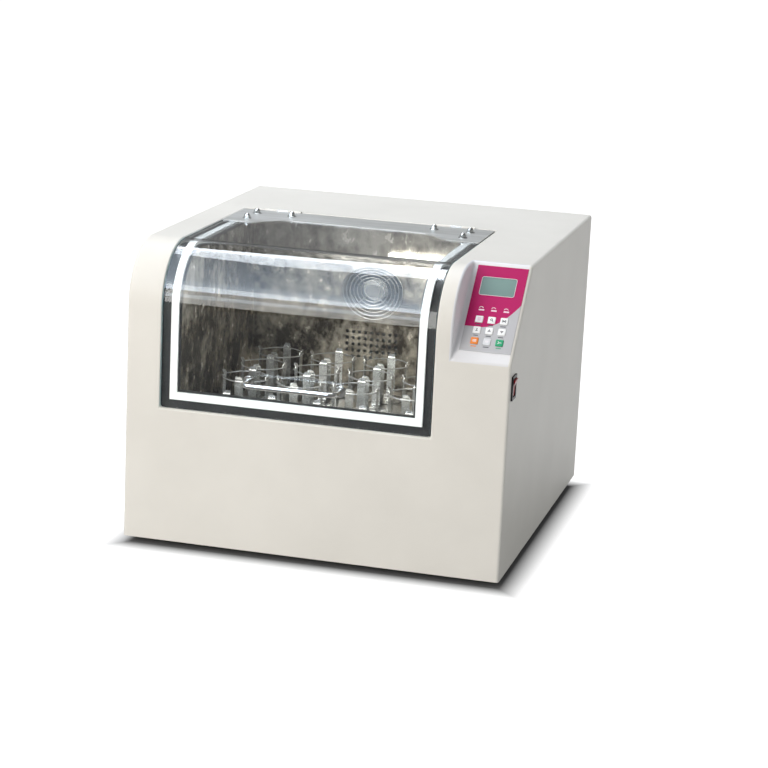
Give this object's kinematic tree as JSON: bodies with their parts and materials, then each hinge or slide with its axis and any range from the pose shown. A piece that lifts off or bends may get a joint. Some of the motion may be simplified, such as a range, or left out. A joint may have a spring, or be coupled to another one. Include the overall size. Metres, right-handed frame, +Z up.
{
  "type": "incubated benchtop shaker",
  "caption": "Heated benchtop shaker: white sheet-metal cabinet with a sloped control panel, a bent clear lid on rear hinges and an orbiting platform with flask clamps.",
  "frame": {"origin": "on the bench, under the middle of the whole from the handle to the mains inlet", "axes": "+Z up, +X towards the operator's right, -Y towards the operator"},
  "size_m": [0.5753, 0.635, 0.4585],
  "materials": {
    "white_paint": "smooth semi-gloss powder coat",
    "fascia_paint": "satin silver-grey paint",
    "pan_steel": "plain zinc-plated sheet",
    "foot_rubber": "matt moulded rubber",
    "screw_steel": "bright plated",
    "frame_black": "satin black",
    "liner_steel": "mirror-polished stainless sheet",
    "insulation_foam": "open-cell foam",
    "guard_wire": "plated wire",
    "duct_sheet": "plain sheet",
    "motor_paint": "satin dark grey",
    "heater_sheath": "oxidised tube",
    "probe_white": "satin",
    "lamp_glass": "milky tube",
    "frame_iron": "machined and oiled",
    "belt_rubber": "matt belt",
    "board_green": "coated circuit board",
    "display_grey": "glossy window over a grey-green display",
    "indicator_pink": "translucent",
    "overlay_magenta": "printed polyester, magenta and silver-grey",
    "black_plastic": "fine-grained moulding",
    "hinge_steel": "polished stainless",
    "clear_lid": "clear bent acrylic sheet",
    "seal_white": "white foam rubber",
    "handle_steel": "polished rod",
    "shaft_steel": "ground steel",
    "pulley_metal": "turned aluminium",
    "tray_metal": "bead-blasted stainless sheet",
    "platform_metal": "milled bars",
    "bearing_steel": "bearing steel",
    "clamp_steel": "bright spring steel",
    "fan_plastic": "moulded blades",
    "rocker_red": "translucent red",
    "key_white": "smooth",
    "key_orange": "smooth",
    "key_grey": "smooth",
    "key_green": "smooth"
  },
  "bodies": {
    "cabinet": {"left_side_panel": "white_paint", "right_side_panel": "white_paint", "front_top_cover": "white_paint", "control_fascia": "fascia_paint", "rear_panel": "white_paint", "base_pan": "pan_steel", "feet": "foot_rubber", "cabinet_screws": "screw_steel", "window_frame": "frame_black", "chamber_liner": "liner_steel", "insulation": "insulation_foam", "fan_guard": "guard_wire", "air_outlet": "liner_steel", "air_duct": "duct_sheet", "fan_motor": "motor_paint", "heater": "heater_sheath", "temperature_probe": "probe_white", "chamber_lamp": "lamp_glass", "drive_frame": "frame_iron", "drive_motor": "motor_paint", "motor_bracket": "pan_steel", "drive_belt": "belt_rubber", "power_supply": "pan_steel", "control_board": "board_green", "display_window": "display_grey", "indicator_lamps": "indicator_pink", "panel_overlay": "overlay_magenta", "switch_bezel": "black_plastic", "mains_inlet": "black_plastic", "hinge_leaves": "hinge_steel", "hinge_pins": "hinge_steel"},
    "lid": {"lid_window": "clear_lid", "lid_seal": "seal_white", "hinge_strip": "hinge_steel", "lid_fasteners": "screw_steel", "lid_handle": "handle_steel"},
    "drive_crank": {"drive_shaft": "shaft_steel", "drive_pulley": "pulley_metal", "counterweight": "frame_iron"},
    "idler_front": {"idler_crank_front": "shaft_steel"},
    "idler_left": {"idler_crank_left": "shaft_steel"},
    "idler_right": {"idler_crank_right": "shaft_steel"},
    "motor_rotor": {"motor_pulley": "pulley_metal"},
    "platform": {"platform_tray": "tray_metal", "platform_frame": "platform_metal", "platform_bearings": "bearing_steel", "clamp_bases": "clamp_steel", "clamp_fingers": "clamp_steel", "clamp_rings": "guard_wire"},
    "fan": {"fan_impeller": "fan_plastic"},
    "rocker": {"power_rocker": "rocker_red"},
    "key_1": {"key_1": "key_white"},
    "key_2": {"key_2": "key_white"},
    "key_3": {"key_3": "key_white"},
    "key_4": {"key_4": "key_white"},
    "key_5": {"key_5": "key_white"},
    "key_6": {"key_6": "key_white"},
    "key_7": {"key_7": "key_orange"},
    "key_8": {"key_8": "key_grey"},
    "key_9": {"key_9": "key_green"}
  },
  "joints": [
    {"name": "lid_hinge", "type": "hinge", "parent": "cabinet", "child": "lid", "pos_m": [-0.034, 0.0895, 0.449], "axis": [-1, 0, 0], "range_deg": [0, 80]},
    {"name": "drive_spin", "type": "hinge", "parent": "cabinet", "child": "drive_crank", "pos_m": [-0.034, -0.07775, 0.05], "axis": [0, 0, 1], "continuous": true},
    {"name": "platform_turn", "type": "hinge", "parent": "drive_crank", "child": "platform", "pos_m": [-0.024, -0.07775, 0.15], "axis": [0, 0, 1], "continuous": true},
    {"name": "idler_front_spin", "type": "hinge", "parent": "cabinet", "child": "idler_front", "pos_m": [-0.034, -0.19275, 0.05], "axis": [0, 0, 1], "continuous": true},
    {"name": "idler_left_spin", "type": "hinge", "parent": "cabinet", "child": "idler_left", "pos_m": [-0.149, 0.02225, 0.05], "axis": [0, 0, 1], "continuous": true},
    {"name": "idler_right_spin", "type": "hinge", "parent": "cabinet", "child": "idler_right", "pos_m": [0.081, 0.02225, 0.05], "axis": [0, 0, 1], "continuous": true},
    {"name": "motor_spin", "type": "hinge", "parent": "cabinet", "child": "motor_rotor", "pos_m": [-0.034, 0.193, 0.05], "axis": [0, 0, 1], "continuous": true},
    {"name": "fan_spin", "type": "hinge", "parent": "cabinet", "child": "fan", "pos_m": [-0.027, 0.13, 0.335], "axis": [0, 1, 0], "continuous": true},
    {"name": "power_switch", "type": "hinge", "parent": "cabinet", "child": "rocker", "pos_m": [0.28, -0.263, 0.293], "axis": [0, -1, 0], "range_deg": [0, 20]},
    {"name": "key_1_press", "type": "slide", "parent": "cabinet", "child": "key_1", "axis": [0, 0.7217, -0.6922], "range_m": [0, 0.0005], "stiffness_N_per_m": 500, "springref_m": -0.0003},
    {"name": "key_2_press", "type": "slide", "parent": "cabinet", "child": "key_2", "axis": [0, 0.7217, -0.6922], "range_m": [0, 0.0005], "stiffness_N_per_m": 500, "springref_m": -0.0003},
    {"name": "key_3_press", "type": "slide", "parent": "cabinet", "child": "key_3", "axis": [0, 0.7217, -0.6922], "range_m": [0, 0.0005], "stiffness_N_per_m": 500, "springref_m": -0.0003},
    {"name": "key_4_press", "type": "slide", "parent": "cabinet", "child": "key_4", "axis": [0, 0.7217, -0.6922], "range_m": [0, 0.0005], "stiffness_N_per_m": 500, "springref_m": -0.0003},
    {"name": "key_5_press", "type": "slide", "parent": "cabinet", "child": "key_5", "axis": [0, 0.7217, -0.6922], "range_m": [0, 0.0005], "stiffness_N_per_m": 500, "springref_m": -0.0003},
    {"name": "key_6_press", "type": "slide", "parent": "cabinet", "child": "key_6", "axis": [0, 0.7217, -0.6922], "range_m": [0, 0.0005], "stiffness_N_per_m": 500, "springref_m": -0.0003},
    {"name": "key_7_press", "type": "slide", "parent": "cabinet", "child": "key_7", "axis": [0, 0.7217, -0.6922], "range_m": [0, 0.0005], "stiffness_N_per_m": 500, "springref_m": -0.0003},
    {"name": "key_8_press", "type": "slide", "parent": "cabinet", "child": "key_8", "axis": [0, 0.7217, -0.6922], "range_m": [0, 0.0005], "stiffness_N_per_m": 500, "springref_m": -0.0003},
    {"name": "key_9_press", "type": "slide", "parent": "cabinet", "child": "key_9", "axis": [0, 0.7217, -0.6922], "range_m": [0, 0.0005], "stiffness_N_per_m": 500, "springref_m": -0.0003}
  ],
  "couplings": [
    {"joint": "platform_turn", "follows": "drive_spin", "ratio": -1},
    {"joint": "idler_front_spin", "follows": "drive_spin", "ratio": 1},
    {"joint": "idler_left_spin", "follows": "drive_spin", "ratio": 1},
    {"joint": "idler_right_spin", "follows": "drive_spin", "ratio": 1},
    {"joint": "motor_spin", "follows": "drive_spin", "ratio": 2.75}
  ]
}
